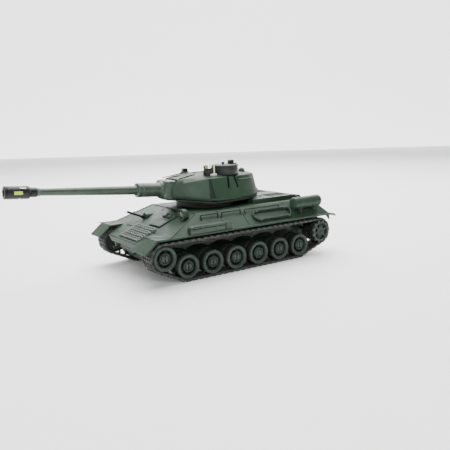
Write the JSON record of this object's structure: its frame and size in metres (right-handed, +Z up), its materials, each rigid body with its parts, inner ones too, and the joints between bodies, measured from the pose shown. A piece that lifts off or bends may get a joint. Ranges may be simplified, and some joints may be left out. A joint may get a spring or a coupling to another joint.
{
  "type": "model tank",
  "caption": "Radio-controlled model battle tank with rubber tracks on free-turning road wheels, a turret that traverses, and a long gun that elevates.",
  "frame": {"origin": "on the ground, under the middle of the model's overall length and width, gun forward", "axes": "+X forward along the hull and the gun, +Y to the tank's left, +Z up"},
  "size_m": [0.332, 0.1276, 0.1065],
  "materials": {
    "hull_green": "satin moulded plastic, dark military green",
    "wheel_green": "satin moulded plastic, grey green",
    "track_rubber": "dull black rubber",
    "black_plastic": "black moulded plastic",
    "clear_cap": "clear, slightly yellow infrared window",
    "lamp_lens": "clear lens",
    "lime_lens": "lime green window",
    "steel": "bright drawn steel",
    "gear_nylon": "natural nylon",
    "board": "solder mask",
    "battery_wrap": "heat-shrink sleeve",
    "speaker_black": "black frame and cone"
  },
  "bodies": {
    "hull": {"axle_pins": "steel", "battery_door": "hull_green", "battery_pack": "battery_wrap", "bow_gun_barrel": "black_plastic", "bow_gun_mount": "hull_green", "circuit_board": "board", "deck_cap": "black_plastic", "drive_gearbox": "gear_nylon", "drive_motors": "steel", "driver_hatch": "hull_green", "engine_deck": "hull_green", "exhaust_pipes": "hull_green", "fuel_drum_left": "hull_green", "fuel_drum_right": "hull_green", "headlight": "hull_green", "headlight_lens": "lamp_lens", "hull_grab_rails": "hull_green", "hull_lower_tub": "hull_green", "hull_screws": "steel", "hull_upper_shell": "hull_green", "spare_track_plate": "hull_green", "speaker": "speaker_black", "stowage_box_left": "hull_green", "stowage_box_right": "hull_green", "tow_cable": "black_plastic", "tow_hooks": "hull_green", "track_left": "track_rubber", "track_right": "track_rubber", "turret_motor": "steel"},
    "turret": {"turret_shell": "hull_green", "turret_base": "hull_green", "turret_gear": "gear_nylon", "commander_cupola": "hull_green", "periscopes": "black_plastic", "ventilator_dome": "hull_green", "hit_sensor_base": "black_plastic", "hit_sensor_cap": "clear_cap", "turret_grab_rails": "hull_green"},
    "gun": {"gun_mantlet": "hull_green", "gun_barrel": "hull_green", "muzzle_brake": "black_plastic", "muzzle_lamp": "lime_lens"},
    "turret_pinion": {"turret_pinion": "gear_nylon"},
    "power_switch": {"power_switch": "black_plastic"},
    "sprocket_left": {"sprocket_left": "wheel_green"},
    "road_wheel_left_1": {"road_wheel_left_1": "wheel_green"},
    "road_wheel_left_2": {"road_wheel_left_2": "wheel_green"},
    "road_wheel_left_3": {"road_wheel_left_3": "wheel_green"},
    "road_wheel_left_4": {"road_wheel_left_4": "wheel_green"},
    "road_wheel_left_5": {"road_wheel_left_5": "wheel_green"},
    "road_wheel_left_6": {"road_wheel_left_6": "wheel_green"},
    "idler_wheel_left": {"idler_wheel_left": "wheel_green"},
    "sprocket_right": {"sprocket_right": "wheel_green"},
    "road_wheel_right_1": {"road_wheel_right_1": "wheel_green"},
    "road_wheel_right_2": {"road_wheel_right_2": "wheel_green"},
    "road_wheel_right_3": {"road_wheel_right_3": "wheel_green"},
    "road_wheel_right_4": {"road_wheel_right_4": "wheel_green"},
    "road_wheel_right_5": {"road_wheel_right_5": "wheel_green"},
    "road_wheel_right_6": {"road_wheel_right_6": "wheel_green"},
    "idler_wheel_right": {"idler_wheel_right": "wheel_green"}
  },
  "joints": [
    {"name": "sprocket_left_spin", "type": "hinge", "parent": "hull", "child": "sprocket_left", "pos_m": [-0.1438, 0.0534, 0.0254], "axis": [0, 1, 0], "continuous": true, "deforming": ["track_left"]},
    {"name": "road_wheel_left_1_spin", "type": "hinge", "parent": "hull", "child": "road_wheel_left_1", "pos_m": [0.024, 0.0534, 0.0148], "axis": [0, 1, 0], "continuous": true},
    {"name": "road_wheel_left_2_spin", "type": "hinge", "parent": "hull", "child": "road_wheel_left_2", "pos_m": [-0.0035, 0.0534, 0.0148], "axis": [0, 1, 0], "continuous": true},
    {"name": "road_wheel_left_3_spin", "type": "hinge", "parent": "hull", "child": "road_wheel_left_3", "pos_m": [-0.031, 0.0534, 0.0148], "axis": [0, 1, 0], "continuous": true},
    {"name": "road_wheel_left_4_spin", "type": "hinge", "parent": "hull", "child": "road_wheel_left_4", "pos_m": [-0.0585, 0.0534, 0.0148], "axis": [0, 1, 0], "continuous": true},
    {"name": "road_wheel_left_5_spin", "type": "hinge", "parent": "hull", "child": "road_wheel_left_5", "pos_m": [-0.086, 0.0534, 0.0148], "axis": [0, 1, 0], "continuous": true},
    {"name": "road_wheel_left_6_spin", "type": "hinge", "parent": "hull", "child": "road_wheel_left_6", "pos_m": [-0.1135, 0.0534, 0.0148], "axis": [0, 1, 0], "continuous": true},
    {"name": "idler_left_spin", "type": "hinge", "parent": "hull", "child": "idler_wheel_left", "pos_m": [0.0479, 0.0534, 0.0257], "axis": [0, 1, 0], "continuous": true},
    {"name": "sprocket_right_spin", "type": "hinge", "parent": "hull", "child": "sprocket_right", "pos_m": [-0.1438, -0.0534, 0.0254], "axis": [0, 1, 0], "continuous": true, "deforming": ["track_right"]},
    {"name": "road_wheel_right_1_spin", "type": "hinge", "parent": "hull", "child": "road_wheel_right_1", "pos_m": [0.024, -0.0534, 0.0148], "axis": [0, 1, 0], "continuous": true},
    {"name": "road_wheel_right_2_spin", "type": "hinge", "parent": "hull", "child": "road_wheel_right_2", "pos_m": [-0.0035, -0.0534, 0.0148], "axis": [0, 1, 0], "continuous": true},
    {"name": "road_wheel_right_3_spin", "type": "hinge", "parent": "hull", "child": "road_wheel_right_3", "pos_m": [-0.031, -0.0534, 0.0148], "axis": [0, 1, 0], "continuous": true},
    {"name": "road_wheel_right_4_spin", "type": "hinge", "parent": "hull", "child": "road_wheel_right_4", "pos_m": [-0.0585, -0.0534, 0.0148], "axis": [0, 1, 0], "continuous": true},
    {"name": "road_wheel_right_5_spin", "type": "hinge", "parent": "hull", "child": "road_wheel_right_5", "pos_m": [-0.086, -0.0534, 0.0148], "axis": [0, 1, 0], "continuous": true},
    {"name": "road_wheel_right_6_spin", "type": "hinge", "parent": "hull", "child": "road_wheel_right_6", "pos_m": [-0.1135, -0.0534, 0.0148], "axis": [0, 1, 0], "continuous": true},
    {"name": "idler_right_spin", "type": "hinge", "parent": "hull", "child": "idler_wheel_right", "pos_m": [0.0479, -0.0534, 0.0257], "axis": [0, 1, 0], "continuous": true},
    {"name": "turret_traverse", "type": "hinge", "parent": "hull", "child": "turret", "pos_m": [-0.036, 0, 0.0674], "axis": [0, 0, 1], "range_deg": [-160, 160]},
    {"name": "gun_elevation", "type": "hinge", "parent": "turret", "child": "gun", "pos_m": [-0.006, 0, 0.07888], "axis": [0, -1, 0], "range_deg": [-6, 12]},
    {"name": "turret_pinion_spin", "type": "hinge", "parent": "hull", "child": "turret_pinion", "pos_m": [-0.069, 0, 0.0556], "axis": [0, 0, 1], "continuous": true},
    {"name": "power_switch_slide", "type": "slide", "parent": "hull", "child": "power_switch", "axis": [1, 0, 0], "range_m": [-0.0021, 0.0021]}
  ],
  "couplings": [
    {"joint": "road_wheel_left_1_spin", "follows": "sprocket_left_spin", "ratio": 1.1578},
    {"joint": "road_wheel_left_2_spin", "follows": "sprocket_left_spin", "ratio": 1.1578},
    {"joint": "road_wheel_left_3_spin", "follows": "sprocket_left_spin", "ratio": 1.1578},
    {"joint": "road_wheel_left_4_spin", "follows": "sprocket_left_spin", "ratio": 1.1578},
    {"joint": "road_wheel_left_5_spin", "follows": "sprocket_left_spin", "ratio": 1.1578},
    {"joint": "road_wheel_left_6_spin", "follows": "sprocket_left_spin", "ratio": 1.1578},
    {"joint": "idler_left_spin", "follows": "sprocket_left_spin", "ratio": 1.0098},
    {"joint": "road_wheel_right_1_spin", "follows": "sprocket_right_spin", "ratio": 1.1578},
    {"joint": "road_wheel_right_2_spin", "follows": "sprocket_right_spin", "ratio": 1.1578},
    {"joint": "road_wheel_right_3_spin", "follows": "sprocket_right_spin", "ratio": 1.1578},
    {"joint": "road_wheel_right_4_spin", "follows": "sprocket_right_spin", "ratio": 1.1578},
    {"joint": "road_wheel_right_5_spin", "follows": "sprocket_right_spin", "ratio": 1.1578},
    {"joint": "road_wheel_right_6_spin", "follows": "sprocket_right_spin", "ratio": 1.1578},
    {"joint": "idler_right_spin", "follows": "sprocket_right_spin", "ratio": 1.0098},
    {"joint": "turret_pinion_spin", "follows": "turret_traverse", "ratio": -5.6}
  ]
}
